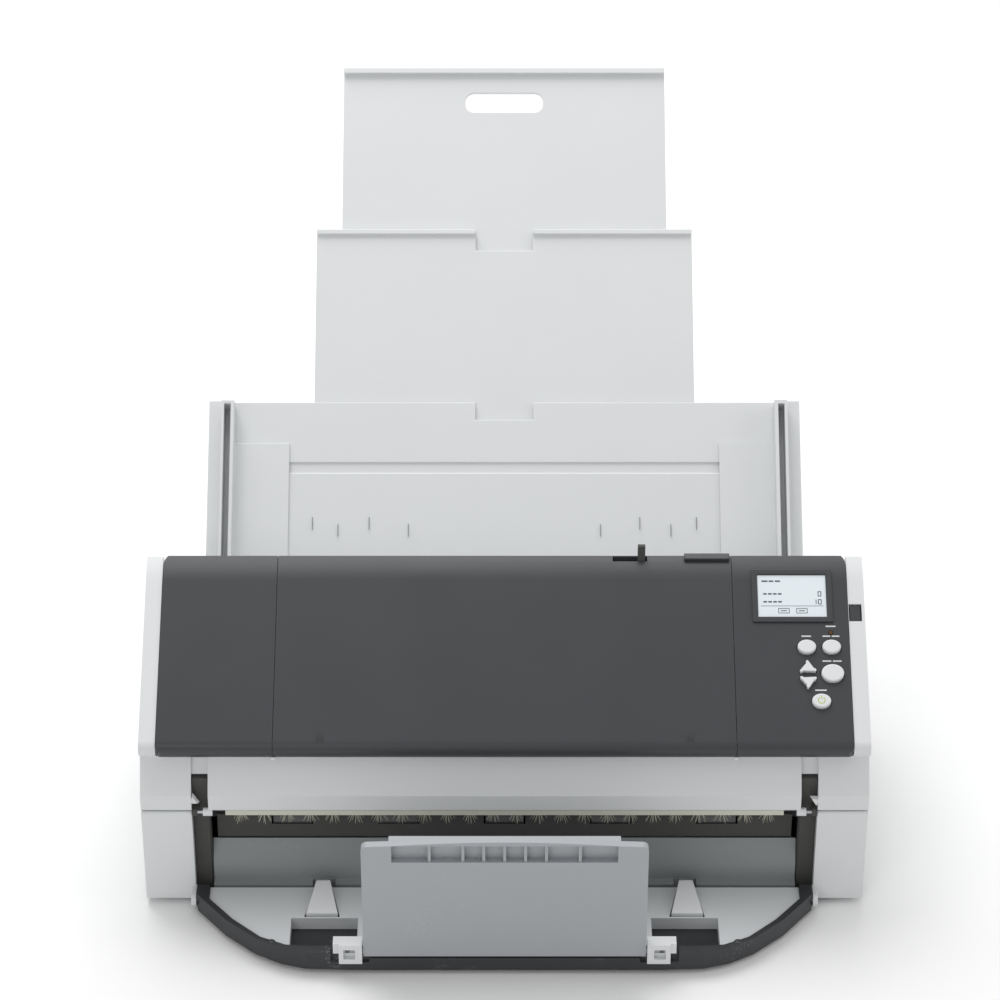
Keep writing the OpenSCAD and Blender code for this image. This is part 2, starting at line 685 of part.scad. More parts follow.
module upper_shell() {
    color(light_gray) seated() difference() {
        union() {
            difference() {
                profile(-half_w, half_w) polygon(shell_line);
                profile(-rim_x - gap, rim_x + gap) polygon(above_deck);
                profile(-bay_x + 1.2, bay_x - 1.2) polygon(lid_hollow(wall, 27));
                both() profile(pillar_x + 2, half_w - wall) polygon(lid_hollow(wall, 27));
                profile(-half_w + wall, half_w - wall) polygon(lid_hollow(26, lid_rear - wall));
                both() block(bay_x - gap, pillar_x, -1, notch_deep, lid_z - 1, lid_z + 28);
            }
            both() {
                // Recessed shield above each column
                profile(bay_x - gap, pillar_x) polygon([
                    [8.6, column_top + 1], [brow_back[0] + 3, brow_back[1] + 1.6],
                    [brow_back[0] + 5.4, brow_back[1] + 1.6], [10.8, column_top + 1]
                ]);
                rod([hinge_y, hinge_z], 2.2, bay_x - gap - 2, bay_x + 2.6);
            }
        }
        both() rod([hinge_y, hinge_z], pin_r + run_fit, bay_x - 2, bay_x + 3);
        // Room behind the operator panel and under the mode slider
        on_cover(0, 0) plate(seam_x + 4, rim_x - 2, 6, 94, -16, 0);
        block(slot_x0 - 6, slot_x1 + 6, slider_y - 4, slider_y + 1.6, 146, 156);
        // Notch for the release lever
        on_cover(0, 0) plate(rim_x + 0.6, half_w - 1.6, lever_s - lever_l / 2, lever_s + lever_l / 2, -9, 4);
        both() for (i = [0:1]) block(rim_x + 20, rim_x + 30, 60 + 8 * i, 64 + 8 * i, 100, 101);
    }
}
// The waste outside a rounded corner whose material lies towards -x and -y
module corner_waste(r) { polygon(concat([[1, -r], [1, 1], [-r, 1]], arc([-r, -r], r, 90, 0, 8))); }
module cover_panel(x0, x1) {
    profile(x0, x1) polygon(concat(cover_line(0), backwards(cover_line(cover_t))));
}
module side_panel() {
    difference() {
        cover_panel(seam_x + gap, rim_x);
        translate([rim_x, lid_rear, 100]) linear_extrude(80) corner_waste(8);
        on_cover(rim_x, -13, -30) mirror([0, 1, 0]) linear_extrude(60) corner_waste(3);
    }
}
module cover_left() { color(dark_gray) seated() mirror([1, 0, 0]) side_panel(); }
module cover_centre() {
    color(dark_gray) seated() difference() {
        cover_panel(-seam_x, seam_x);
        block(slot_x0, slot_x1, slider_y - 1.6, slider_y + 1.6, 140, 170);
    }
}
module oval(w, h) { polygon([for (i = [0:31]) [w / 2 * cos(i * 11.25), h / 2 * sin(i * 11.25)]]); }
module arrow(up, grow) {
    r = 1 + grow;
    points = [[-3.4, -2.2], [3.4, -2.2], [0, 2.4]];
    flip = up ? 1 : -1;
    polygon(up
        ? [for (k = [0:2]) each arc(points[k], r, 210 + 120 * k - 10, 330 + 120 * k + 10, 5)]
        : [for (k = [0:2]) each arc([points[k][0], flip * points[k][1]], r, 150 - 120 * k + 10, 30 - 120 * k - 10, 5)]);
}
module menu_shape(g) { translate([ops_col[0], menu_s]) oval(9.8 + 2 * g, 7.8 + 2 * g); }
module stop_shape(g) { translate([ops_col[2], menu_s]) oval(9.8 + 2 * g, 7.8 + 2 * g); }
module up_shape(g) { translate([ops_col[0], arrow_up_s]) arrow(true, g); }
module down_shape(g) { translate([ops_col[0], arrow_down_s]) arrow(false, g); }
module scan_shape(g) { translate([ops_col[2], scan_s0]) oval(11.9 + 2 * g, 9.9 + 2 * g); }
module power_shape(g) { translate([ops_col[1], power_s]) oval(10 + 2 * g, 8 + 2 * g); }
board_h = -7;
button_foot = -4.4;
module cover_right() {
    color(dark_gray) seated() {
        difference() {
            side_panel();
            on_cover(0, 0, -10) linear_extrude(20) {
                menu_shape(button_gap);
                stop_shape(button_gap);
                up_shape(button_gap);
                down_shape(button_gap);
                scan_shape(button_gap);
                power_shape(button_gap);
                translate([ops_x - lcd_w / 2, lcd_s - lcd_h / 2]) square([lcd_w, lcd_h]);
                translate([ops_col[2], led_s]) circle(r = 1.3);
            }
        }
        // Posts for the panel board
        for (x = [seam_x + 7, rim_x - 7], s = [10, 88])
            on_cover(x, s, board_h + 1.6) cylinder(r = 2, h = -board_h - 1.6 - cover_t + 0.3);
    }
}
module push_button(top) {
    on_cover(0, 0, button_foot) linear_extrude(button_proud - button_foot) children();
}
module menu_button() { color(light_gray) seated() push_button() menu_shape(0); }
module stop_button() { color(light_gray) seated() push_button() stop_shape(0); }
module up_button() { color(light_gray) seated() push_button() up_shape(0); }
module down_button() { color(light_gray) seated() push_button() down_shape(0); }
module scan_button() { color(light_gray) seated() push_button() scan_shape(0); }
module power_button() { color(light_gray) seated() push_button() power_shape(0); }
module lcd_bezel() {
    color(dark_gray) seated() on_cover(0, 0, 0.02) linear_extrude(1.1) difference() {
        translate([ops_x - lcd_w / 2 - bezel_w, lcd_s - lcd_h / 2 - bezel_w])
            square([lcd_w + 2 * bezel_w, lcd_h + 2 * bezel_w]);
        translate([ops_x - lcd_w / 2, lcd_s - lcd_h / 2]) square([lcd_w, lcd_h]);
    }
}
module lcd_glass() {
    e = 0.2;
    color("#eef3f6") seated() on_cover(0, 0) plate(ops_x - lcd_w / 2 + e, ops_x + lcd_w / 2 - e,
        lcd_s - lcd_h / 2 + e, lcd_s + lcd_h / 2 - e, -4, 0.3);
}
module panel_board() {
    color("#2f6b46") seated() on_cover(0, 0) plate(seam_x + 5, rim_x - 5, 7, 93, board_h, board_h + 1.6);
}
module check_led() { color("#c8812c") seated() on_cover(ops_col[2], led_s, board_h + 1.7) cylinder(r = 1, h = 5.5); }
module notch_bar() {
    a = slope_n - crown_turn;
    color(dark_gray) seated() profile(95.4, 119.4)
        polygon(concat(arc(crown_c, crown_r + 2.2, a, a + 3.6, 2), backwards(arc(crown_c, crown_r + 0.1, a, a + 3.6, 2))));
}
module upper_guide() {
    x = guide_half;
    color(dark_gray) seated() difference() {
        union() {
            profile(-x, x) polygon(path_band(12, 100, guide_play, guide_play + guide_t));
            both() profile(x, x + 1.6) polygon(path_band(12, 100, guide_play, guide_play + 15));
        }
        translate([0, path[1][0], path[1][1]]) rotate([path_slope(1), 0, 0])
            plate(-scan_half - 1, scan_half + 1, scan_s - 0.4, scan_s + scan_l + 0.4, 0, 40);
        for (i = [-2:2]) {
            rod(eject_idler_c, eject_idler_r + 1, 56 * i - 9, 56 * i + 9);
            rod(feed_idler_c, feed_idler_r + 1, 56 * i - 9, 56 * i + 9);
        }
        rod(brake_c, brake_r + 1, -32, 32);
        for (c = [eject_idler_c, feed_idler_c]) rod(c, idler_shaft_r + run_fit, -x - 2, x + 2);
        rod(brake_c, shaft_r + run_fit, -x - 2, x + 2);
    }
}
module upper_scan_unit() {
    color(black) seated() {
        scan_case(1);
        both() translate([0, path[1][0], path[1][1]]) rotate([path_slope(1), 0, 0])
            plate(scan_half, half_w - wall - gap, scan_s + 8, scan_s + 18, 14, 24);
    }
}
module upper_glass() { color("#9fb4b8") seated() scan_pane(1); }
module brake_roller() {
    color(black) seated() {
        rod(brake_c, shaft_r, -guide_half - 2.4, guide_half + 2.4);
        both() rod(brake_c, brake_r, 5, 29);
    }
}
module idler_set(c, r) {
    rod(c, idler_shaft_r, -guide_half - 2.4, guide_half + 2.4);
    tyres(c, r, 15);
}
module feed_idlers() { color(black) seated() idler_set(feed_idler_c, feed_idler_r); }
module eject_idlers() { color(black) seated() idler_set(eject_idler_c, eject_idler_r); }
strip_half = 146;
strip_z = lid_z - 3.4;
tuft_pitch = 12;
module brush_strip() {
    color("#a3a18a") seated() difference() {
        union() {
            block(-strip_half, strip_half, 1.2, 7.6, strip_z, lid_z - gap);
            block(-strip_half + 4, strip_half - 4, wall + gap, wall + gap + 1.6, strip_z + 1, lid_z + 4);
        }
        for (i = [-11.5:11.5]) block(i * tuft_pitch - 1.2, i * tuft_pitch + 1.2, 3.4, 5.6, strip_z - 1, strip_z + 1.8);
    }
}
module brush_tufts() {
    tuft_l = 9;
    color("#8e8b72") seated() for (i = [-11.5:11.5])
        translate([i * tuft_pitch, 4.9, strip_z + 1.7]) rotate([90, 0, 0]) linear_extrude(0.8)
            polygon([[-0.8, 0], [0.8, 0], [0.9, -2], [3.6, -tuft_l], [-3.6, -tuft_l], [-0.9, -2]]);
}
module mode_slider() {
    color(black) seated() {
        block(slider_x - 2, slider_x + 2, slider_y - 1.2, slider_y + 1.2, 149.6, crown_end[1] + 8);
        block(slider_x - 4, slider_x + 4, slider_y - 2.6, slider_y + 1.2, 148.4, 150.2);
    }
}
module release_lever() {
    color(dark_gray) seated() on_cover(0, 0) {
        plate(rim_x + 1.1, half_w - 2.1, lever_s - lever_l / 2 + 0.5, lever_s + lever_l / 2 - 0.5, -3.4, -1.4);
        plate(rim_x + 1.1, half_w - 2.1, lever_s - lever_l / 2 + 0.5, lever_s - lever_l / 2 + 2.5, -8, -3.4);
    }
}

// ---- Stacker tray ----
function tray_outline(inset) =
    let(right = [
        [tray_half - inset, tray_rear], [tray_half - inset, -9 - inset * 0.47],
        [tray_half - 16.4 - inset * 0.62, -tray_reach + 27.4 + inset * 0.08],
        [tray_half - 32.9 - inset * 0.4, -tray_reach + 12.4 + inset * 0.2],
        [tray_half - 46.4 - inset * 0.38, -tray_reach + 4.8 + inset * 0.4],
        [tray_half - 59.4 - inset * 0.2, -tray_reach + 1 + inset * 0.85],
        [tray_half - 82.4, -tray_reach + inset]
    ])
    concat(right, backwards([for (p = right) [-p[0], p[1]]]));
module tray_frame() {
    color(dark_gray) seated() difference() {
        union() {
            translate([0, 0, foot_h]) linear_extrude(tray_base_t) polygon(tray_outline(0.4));
            translate([0, 0, foot_h]) linear_extrude(tray_wall_h) difference() {
                polygon(tray_outline(0));
                polygon(tray_outline(ring_w));
                translate([ring_w - tray_half, tray_rear - 1]) square([2 * (tray_half - ring_w), 2]);
            }
        }
        // Rests for the stopper and its brackets
        block(-stopper_half - 1, stopper_half + 1, -tray_reach - 1, -tray_reach + ring_w + 1, foot_h + 8, foot_h + 20);
        both() block(stopper_half - 3, stopper_half + 17, -tray_reach - 2, -tray_reach + ring_w + 0.2,
            foot_h + 5.2, foot_h + 20);
        both() rod(tray_pin, tray_pin_r + run_fit, tray_half - ring_w - 1, tray_half + 1);
        // Lip that clears the sill as the tray folds
        block(-tray_half - 1, tray_half + 1, tray_rear - 0.5, 1, foot_h + 5, foot_h + 20);
    }
}
riser_pin = [riser_y0 + 1.5, foot_h + 9];
module riser_slot_shape(grow) {
    f = riser_front_w / 2 + grow;
    b = riser_rear_w / 2 + grow;
    polygon([[riser_x - f, riser_y0 - grow], [riser_x + f, riser_y0 - grow], [riser_x + b, riser_y1 + grow],
        [riser_x - b, riser_y1 + grow]]);
}
module tray_floor() {
    color(light_gray) seated() difference() {
        union() {
            translate([0, 0, floor_top - floor_t]) linear_extrude(floor_t)
                intersection() {
                    polygon(tray_outline(ring_w + gap));
                    translate([-200, -100]) square([400, 100 + tray_rear - 0.7]);
                }
            // Ribs that stand on the tray's base
            for (x = [-140, -60, -20, 20, 60, 140])
                block(x - 1, x + 1, -24, -8, foot_h + tray_base_t, floor_top - floor_t);
            // Walls round the finger pockets
            both() difference() {
                block(pocket_x0 - 1.5, pocket_x1 + 1.5, pocket_y0 + 0.4, pocket_y1 + 1.5, foot_h + tray_base_t, floor_top);
                block(pocket_x0, pocket_x1, pocket_y0 - 1, pocket_y1, foot_h + 1, floor_top + 1);
            }
        }
        both() block(pocket_x0, pocket_x1, pocket_y0 - 3, pocket_y1, floor_top - floor_t - 1, floor_top + 1);
        both() translate([0, 0, foot_h + 3]) linear_extrude(20) riser_slot_shape(riser_slot);
    }
}
module riser() {
    color(light_gray) seated() intersection() {
        profile(riser_x - riser_front_w, riser_x + riser_front_w) polygon([
            [riser_y0, foot_h + 7], [riser_y0, foot_h + 10.6], [riser_y0 + 2, foot_h + 11.4],
            [riser_y1 - 1.5, foot_h + 16], [riser_y1, foot_h + 15.4], [riser_y1, foot_h + 13.4], [riser_y0 + 6, foot_h + 7]
        ]);
        linear_extrude(40) riser_slot_shape(0);
    }
}
module riser_right() { riser(); }
module riser_left() { mirror([1, 0, 0]) riser(); }
module hinge_brackets() {
    x0 = stopper_half + 0.6;
    color(light_gray) seated() both() difference() {
        union() {
            block(x0, x0 + bracket_w, bracket_y0, -tray_reach + 6, foot_h + 5.4, foot_h + 17.6);
            block(x0 + bracket_w - 1, x0 + bracket_w + 3, bracket_y0 + 1.4, -tray_reach + 6, foot_h + 11.3, foot_h + 17.6);
        }
        block(x0 + 3.6, x0 + bracket_w - 2.4, bracket_y0 - 1, bracket_y0 + 2.4, foot_h + 8.4, foot_h + 14.6);
        rod(stopper_pin, stopper_pin_r + run_fit, x0 - 1, x0 + bracket_w - 3);
    }
}
module stopper() {
    arch = 2.5;
    depth = 9;
    rib_x = [0, 10.6, 21.2, 38.3];
    centre_half = 59 / 73 * stopper_half;
    recess_half = centre_half - 1.5;
    color("#9ea2a8") seated() {
        difference() {
            union() {
                // Face plate with an arched top
                translate([0, stopper_y0 + 4.4, 0]) rotate([90, 0, 0]) linear_extrude(4.4) polygon(concat(
                    [[-stopper_half, stopper_foot], [stopper_half, stopper_foot]],
                    arc([stopper_half - 3, stopper_top - 5], 3, 0, 90, 6),
                    [for (i = [0:12]) let(x = centre_half * (1 - i / 6))
                        [x, stopper_top - 1.6 + arch * (1 - pow(x / centre_half, 2))]],
                    arc([-stopper_half + 3, stopper_top - 5], 3, 90, 180, 6)
                ));
                block(-centre_half, centre_half, stopper_y0 + 4.4, stopper_y0 + depth, stopper_foot + 1, stopper_top - 2);
            }
            // Hollow behind the face
            block(-centre_half + 2, centre_half - 2, stopper_y0 + 2.2, stopper_y0 + depth - 2,
                stopper_foot + 3, stopper_top - 14.4);
            // Ribbed grip along the top
            block(-recess_half, recess_half, stopper_y0 - 1, stopper_y0 + 4, stopper_top - 12, stopper_top - 1.6);
        }
        for (x = rib_x, side = [-1, 1])
            block(side * x - 0.75, side * x + 0.75, stopper_y0 + 0.6, stopper_y0 + 4.2, stopper_top - 12.2, stopper_top - 1.4);
        both() rod(stopper_pin, stopper_pin_r, stopper_half - 1, stopper_half + 7);
    }
}

base_pan();
feet();
side_cover_left();
side_cover_right();
rear_cover();
bay_frame();
bay_wall();
lower_guide();
lower_scan_unit();
lower_glass();
frame_plates();
drive_motor();
drive_belt();
main_board();
dc_inlet();
usb_port();
cover_screws();
hinge_pins();
chute_panel();
chute_back();
motor_pulley();
pick_roller();
feed_roller();
eject_roller();
upper_shell();
cover_left();
cover_centre();
cover_right();
lcd_bezel();
lcd_glass();
panel_board();
check_led();
upper_guide();
upper_scan_unit();
upper_glass();
brush_strip();
brush_tufts();
notch_bar();
brake_roller();
feed_idlers();
eject_idlers();
menu_button();
stop_button();
up_button();
down_button();
scan_button();
power_button();
mode_slider();
release_lever();
extension_1();
extension_2();
side_guide_left();
side_guide_right();
tray_frame();
tray_floor();
riser_left();
riser_right();
hinge_brackets();
stopper();
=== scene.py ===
"""Sheet fed document scanner: finishes, small trim and studio round the fixed CAD frame."""

import json
import logging
import math
import random
from dataclasses import dataclass, field
from enum import Enum
from typing import Callable, Iterable, Sequence

import bmesh
import bpy
from mathutils import Matrix, Vector

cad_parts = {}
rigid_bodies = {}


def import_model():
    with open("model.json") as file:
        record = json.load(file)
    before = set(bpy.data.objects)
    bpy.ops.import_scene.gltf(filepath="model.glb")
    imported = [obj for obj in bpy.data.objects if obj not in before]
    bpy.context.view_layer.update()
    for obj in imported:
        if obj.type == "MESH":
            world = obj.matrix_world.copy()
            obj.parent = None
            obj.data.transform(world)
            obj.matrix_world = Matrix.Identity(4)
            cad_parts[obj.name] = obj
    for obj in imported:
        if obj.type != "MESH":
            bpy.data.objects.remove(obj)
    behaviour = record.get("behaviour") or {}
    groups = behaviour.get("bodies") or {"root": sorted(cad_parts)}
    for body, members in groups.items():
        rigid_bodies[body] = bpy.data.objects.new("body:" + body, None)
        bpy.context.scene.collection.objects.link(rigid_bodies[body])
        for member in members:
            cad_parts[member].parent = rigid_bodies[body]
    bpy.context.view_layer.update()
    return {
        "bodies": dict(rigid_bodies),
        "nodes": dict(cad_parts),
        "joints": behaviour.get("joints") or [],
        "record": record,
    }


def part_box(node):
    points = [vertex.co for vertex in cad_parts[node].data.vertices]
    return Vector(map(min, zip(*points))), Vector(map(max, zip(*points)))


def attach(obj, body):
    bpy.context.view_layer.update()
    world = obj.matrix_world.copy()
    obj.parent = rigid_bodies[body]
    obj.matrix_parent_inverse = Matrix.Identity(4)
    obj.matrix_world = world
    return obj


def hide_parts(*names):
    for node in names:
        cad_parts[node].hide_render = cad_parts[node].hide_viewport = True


LOG = logging.getLogger("scanner")
MM = 0.001
COVER_TILT = math.radians(30.5)
CHUTE_TILT = math.radians(41.0)
SLOPE = Vector((0.0, math.cos(COVER_TILT), math.sin(COVER_TILT)))
NORMAL = Vector((0.0, -math.sin(COVER_TILT), math.cos(COVER_TILT)))


def linear(code: str) -> tuple[float, float, float, float]:
    """A linear RGBA colour from a written sRGB code.

    Args:
        code: the code, such as "#d6d8d9".

    Returns:
        The red, green, blue and alpha values.
    """
    parts = [int(code[i:i + 2], 16) / 255 for i in (1, 3, 5)]
    r, g, b = [c / 12.92 if c <= 0.04045 else ((c + 0.055) / 1.055) ** 2.4 for c in parts]
    return (r, g, b, 1.0)


class Effect(Enum):
    """The shared surface effects, each one node group."""

    GRAIN = "moulded grain"
    WEAR = "handling wear"
    BRUSHED = "brushed lines"


def new_group(effect: Effect, inputs: dict[str, float], outputs: Sequence[str]) -> bpy.types.NodeTree:
    """Starts a shader node group with a Vector input.

    Args:
        effect: which effect the group makes.
        inputs: name and default of each number input.
        outputs: names of the number outputs.

    Returns:
        The empty group with its input and output nodes.
    """
    group = bpy.data.node_groups.new(effect.value, "ShaderNodeTree")
    group.interface.new_socket("Vector", in_out="INPUT", socket_type="NodeSocketVector")
    for name, value in inputs.items():
        socket = group.interface.new_socket(name, in_out="INPUT", socket_type="NodeSocketFloat")
        socket.default_value = value
    for name in outputs:
        group.interface.new_socket(name, in_out="OUTPUT", socket_type="NodeSocketFloat")
    group.nodes.new("NodeGroupInput")
    group.nodes.new("NodeGroupOutput")
    return group


def make_grain() -> bpy.types.NodeTree:
    """Fine spark-eroded texture (Height) and a slow cloud of tone (Tone)."""
    group = new_group(Effect.GRAIN, {"Scale": 1800.0, "Cloud Scale": 22.0}, ("Height", "Tone"))
    link = group.links.new
    source, sink = group.nodes["Group Input"], group.nodes["Group Output"]
    fine = group.nodes.new("ShaderNodeTexNoise")
    fine.inputs["Detail"].default_value = 2.0
    cells = group.nodes.new("ShaderNodeTexVoronoi")
    mix = group.nodes.new("ShaderNodeMath")
    mix.operation = "MULTIPLY_ADD"
    mix.inputs[1].default_value = 0.5
    cloud = group.nodes.new("ShaderNodeTexNoise")
    cloud.inputs["Detail"].default_value = 4.0
    for node in (fine, cells, cloud):
        link(source.outputs["Vector"], node.inputs["Vector"])
    link(source.outputs["Scale"], fine.inputs["Scale"])
    link(source.outputs["Scale"], cells.inputs["Scale"])
    link(source.outputs["Cloud Scale"], cloud.inputs["Scale"])
    link(cells.outputs["Distance"], mix.inputs[0])
    link(fine.outputs[0], mix.inputs[2])
    link(mix.outputs[0], sink.inputs["Height"])
    link(cloud.outputs[0], sink.inputs["Tone"])
    return group


def make_wear() -> bpy.types.NodeTree:
    """A mask of sparse faint scuffs: broad patches cut into by fine noise."""
    group = new_group(Effect.WEAR, {"Scale": 40.0}, ("Mask",))
    link = group.links.new
    source, sink = group.nodes["Group Input"], group.nodes["Group Output"]
    masks = []
    for ratio, low, high in ((1.0, 0.58, 0.74), (14.0, 0.5, 0.66)):
        size = group.nodes.new("ShaderNodeMath")
        size.operation = "MULTIPLY"
        size.inputs[1].default_value = ratio
        noise = group.nodes.new("ShaderNodeTexNoise")
        noise.inputs["Detail"].default_value = 4.0
        cut = group.nodes.new("ShaderNodeMapRange")
        cut.inputs["From Min"].default_value = low
        cut.inputs["From Max"].default_value = high
        link(source.outputs["Scale"], size.inputs[0])
        link(source.outputs["Vector"], noise.inputs["Vector"])
        link(size.outputs[0], noise.inputs["Scale"])
        link(noise.outputs[0], cut.inputs["Value"])
        masks.append(cut)
    both = group.nodes.new("ShaderNodeMath")
    both.operation = "MULTIPLY"
    link(masks[0].outputs["Result"], both.inputs[0])
    link(masks[1].outputs["Result"], both.inputs[1])
    link(both.outputs[0], sink.inputs["Mask"])
    return group


def make_brushed() -> bpy.types.NodeTree:
    """Long fine scratches, as rolled or brushed steel shows."""
    group = new_group(Effect.BRUSHED, {"Scale": 60.0}, ("Height", "Tone"))
    link = group.links.new
    source, sink = group.nodes["Group Input"], group.nodes["Group Output"]
    stretch = group.nodes.new("ShaderNodeMapping")
    stretch.inputs["Scale"].default_value = (1.0, 1.0, 40.0)
    noise = group.nodes.new("ShaderNodeTexNoise")
    noise.inputs["Detail"].default_value = 6.0
    link(source.outputs["Vector"], stretch.inputs["Vector"])
    link(stretch.outputs["Vector"], noise.inputs["Vector"])
    link(source.outputs["Scale"], noise.inputs["Scale"])
    link(noise.outputs[0], sink.inputs["Height"])
    link(noise.outputs[0], sink.inputs["Tone"])
    return group


MAKERS: dict[Effect, Callable[[], bpy.types.NodeTree]] = {
    Effect.GRAIN: make_grain, Effect.WEAR: make_wear, Effect.BRUSHED: make_brushed,
}


def effect_group(effect: Effect) -> bpy.types.NodeTree:
    """The one node group of an effect, made the first time it is asked for."""
    return bpy.data.node_groups.get(effect.value) or MAKERS[effect]()


@dataclass(frozen=True)
class Finish:
    """One surface finish of the machine."""

    name: str
    colour: str
    rough: float = 0.45
    grain: float = 1800.0
    depth: float = 0.05
    spread: float = 0.03
    wear: float = 0.15
    scuff_and_sheen: str = "#f2f2f2"
    metallic: float = 0.0
    clear: float = 0.0
    glow: float = 0.0
    sheen: float = 0.5
    surface: Effect = Effect.GRAIN

    def material(self) -> bpy.types.Material:
        """The finish as a node material, made once.

        Returns:
            The material that every piece in this finish shares.
        """
        known = bpy.data.materials.get(self.name)
        if known:
            return known
        mat = bpy.data.materials.new(self.name)
        mat.use_nodes = True
        tree = mat.node_tree
        link = tree.links.new
        shader = tree.nodes["Principled BSDF"]
        place = tree.nodes.new("ShaderNodeTexCoord")
        skin = tree.nodes.new("ShaderNodeGroup")
        skin.node_tree = effect_group(self.surface)
        skin.inputs["Scale"].default_value = self.grain
        link(place.outputs["Object"], skin.inputs["Vector"])
        base = Vector(linear(self.colour)[:3])
        tone = self.blend(tree, base * (1 - self.spread), base * (1 + self.spread))
        link(skin.outputs["Tone"], tone.inputs["Factor"])
        edge = tree.nodes.new("ShaderNodeGroup")
        edge.node_tree = effect_group(Effect.WEAR)
        link(place.outputs["Object"], edge.inputs["Vector"])
        scaled = tree.nodes.new("ShaderNodeMath")
        scaled.operation = "MULTIPLY"
        scaled.inputs[1].default_value = self.wear
        link(edge.outputs["Mask"], scaled.inputs[0])
        # Scuff colour mix; on the charcoal cover this colour is a painted highlight tone.
        scuff_and_sheen = self.blend(tree, base, Vector(linear(self.scuff_and_sheen)[:3]))
        link(tone.outputs["Result"], scuff_and_sheen.inputs["A"])
        link(scaled.outputs[0], scuff_and_sheen.inputs["Factor"])
        link(scuff_and_sheen.outputs["Result"], shader.inputs["Base Color"])
        rough = tree.nodes.new("ShaderNodeMapRange")
        rough.inputs["To Min"].default_value = max(0.02, self.rough - 0.06)
        rough.inputs["To Max"].default_value = min(1.0, self.rough + 0.06)
        link(skin.outputs["Tone"], rough.inputs["Value"])
        link(rough.outputs["Result"], shader.inputs["Roughness"])
        bump = tree.nodes.new("ShaderNodeBump")
        bump.inputs["Strength"].default_value = self.depth
        bump.inputs["Distance"].default_value = 0.0002
        link(skin.outputs["Height"], bump.inputs["Height"])
        link(bump.outputs["Normal"], shader.inputs["Normal"])
        shader.inputs["Metallic"].default_value = self.metallic
        shader.inputs["Specular IOR Level"].default_value = self.sheen
        shader.inputs["Transmission Weight"].default_value = self.clear
        if self.glow:
            shader.inputs["Emission Color"].default_value = linear(self.colour)
            shader.inputs["Emission Strength"].default_value = self.glow
        mat.diffuse_color = linear(self.colour)
        return mat

    @staticmethod
    def blend(tree: bpy.types.NodeTree, low: Vector, high: Vector) -> "ColourMix":
        """A colour mix from low to high.

        Args:
            tree: the material's node tree, which gains the node.
            low: linear colour at factor 0.
            high: linear colour at factor 1.

        Returns:
            The mix, by its colour sockets.
        """
        node = tree.nodes.new("ShaderNodeMix")
        node.data_type = "RGBA"
        colours = [s for s in node.inputs if s.type == "RGBA"]
        colours[0].default_value = (*low, 1.0)
        colours[1].default_value = (*high, 1.0)
        node.inputs["Factor"].default_value = 0.0
        return ColourMix(node)


class ColourMix:
    """A colour mix node seen by its colour sockets only."""

    def __init__(self, node: bpy.types.Node) -> None:
        """Keeps the sockets that carry the factor and the colours."""
        colours = [s for s in node.inputs if s.type == "RGBA"]
        self.inputs = {"Factor": node.inputs[0], "A": colours[0], "B": colours[1]}
        self.outputs = {"Result": next(s for s in node.outputs if s.type == "RGBA")}


PALE = Finish("pale_shell_plastic", "#d9dbdc", rough=0.46, spread=0.012, wear=0.1, scuff_and_sheen="#f6f6f6")
PALE_TRAY = Finish("tray_floor_plastic", "#cfd2d4", rough=0.5, spread=0.012, wear=0.1)
# Partly painted highlight: the scuff colour is the cover's highlight tone, so its scuffs are partly real
# wear and partly painted highlight.
CHARCOAL = Finish("charcoal_cover_plastic", "#404144", rough=0.34, depth=0.08, sheen=0.36,
                  spread=0.03, wear=0.02, scuff_and_sheen="#8d9096")
TRAY_DARK = Finish("tray_frame_plastic", "#353638", rough=0.42, sheen=0.35, spread=0.03,
                   wear=0.25, scuff_and_sheen="#a8abae")
# Painted shade: the bay wall is light grey plastic; this darker grey is the shade it sits in under the exit
# overhang.
BAY_SHADE_GREY = Finish("bay_wall_painted_shade", "#8c9091", rough=0.5, spread=0.01, wear=0.04)
BLACK = Finish("black_plastic", "#161615", rough=0.5, sheen=0.3, spread=0.06, wear=0.1, scuff_and_sheen="#5a5a5a")
# Painted shade: the stopper's grey is the darker tone its forward and down facing face takes in the light.
STOPPER_SHADE_GREY = Finish("stopper_painted_shade", "#a4a7ab", rough=0.42, spread=0.008, wear=0.05)
KEY = Finish("key_cap_plastic", "#dcdedf", rough=0.38, grain=2600.0, depth=0.03, spread=0.01)
RUBBER = Finish("roller_rubber", "#262626", rough=0.78, grain=900.0, depth=0.2, spread=0.1, wear=0.2,
                scuff_and_sheen="#5c5a58")
STEEL = Finish("zinc_steel", "#b9bcc0", rough=0.32, depth=0.06, spread=0.08, metallic=1.0, grain=60.0,
               surface=Effect.BRUSHED)
GLASS = Finish("scan_glass", "#e8f1f1", rough=0.05, depth=0.0, spread=0.0, wear=0.0, clear=0.9)
SCREEN = Finish("display_window", "#dde5e9", rough=0.14, depth=0.0, spread=0.006, wear=0.0,
                glow=0.04, sheen=0.3)
INK = Finish("display_ink", "#4b545b", rough=0.5, spread=0.05, wear=0.0)
PRINT = Finish("panel_print", "#d4d6d8", rough=0.6, spread=0.03, wear=0.0)
LIME = Finish("power_mark", "#b9c24a", rough=0.5, spread=0.03, wear=0.0)
LENS = Finish("lamp_lens", "#5a3f22", rough=0.2, depth=0.0, spread=0.05, wear=0.0)
BOARD = Finish("circuit_board", "#2f6b46", rough=0.4, grain=400.0, depth=0.1, spread=0.12)
STRIP = Finish("brush_backing", "#a3a18a", rough=0.7, grain=900.0, depth=0.2, spread=0.06)
FIBRE = Finish("brush_fibre", "#aaa58a", rough=0.85, grain=1500.0, depth=0.2, spread=0.22, wear=0.0)


